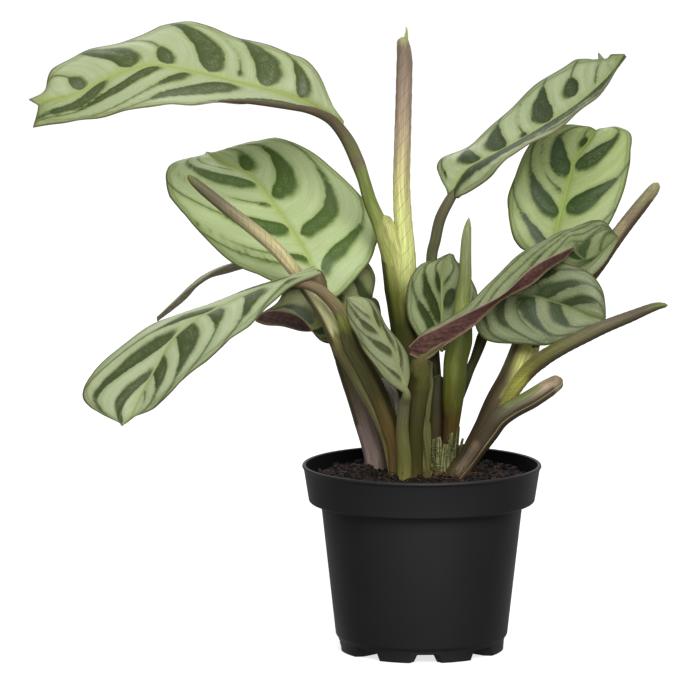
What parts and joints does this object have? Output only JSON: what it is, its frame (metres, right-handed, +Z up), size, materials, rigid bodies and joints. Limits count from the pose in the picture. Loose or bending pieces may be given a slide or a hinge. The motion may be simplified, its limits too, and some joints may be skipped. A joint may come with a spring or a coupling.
{
  "type": "potted prayer plant",
  "caption": "Fishbone prayer plant: long patterned leaves on sheathed shoots, with rolled new leaves, in a round black nursery pot filled with peat.",
  "frame": {"origin": "centre of the pot's foot, on the surface it stands on", "axes": "+Z up along the pot's axis, -Y towards the plant's front, +X to the right as seen from the front"},
  "size_m": [0.3171, 0.1295, 0.3156],
  "materials": {
    "pot_plastic": "satin moulded plastic",
    "peat": "matt, crumbly",
    "leaf": "satin, dark bars on pale green, purple underneath",
    "stem": "satin, ribbed",
    "rolled_leaf": "satin, wrapped",
    "dry_sheath": "dry, fibrous"
  },
  "bodies": {
    "root": {"pot": "pot_plastic", "soil": "peat", "tall_leaf": "leaf", "broad_left_leaf": "leaf", "front_left_leaf": "leaf", "edge_on_leaf": "leaf", "low_left_leaf": "leaf", "front_small_leaf": "leaf", "centre_leaf": "leaf", "upper_right_leaf": "leaf", "round_right_leaf": "leaf", "folded_right_leaf": "leaf", "striped_right_leaf": "leaf", "tall_shoot": "stem", "front_shoot": "stem", "left_shoot": "stem", "outer_left_shoot": "stem", "middle_shoot": "stem", "dark_shoot": "stem", "slim_shoot": "stem", "right_shoot": "stem", "tall_rolled_leaf": "rolled_leaf", "left_rolled_leaf": "rolled_leaf", "right_rolled_leaf": "rolled_leaf", "dry_sheath": "dry_sheath", "torn_sheath": "dry_sheath"}
  },
  "joints": []
}
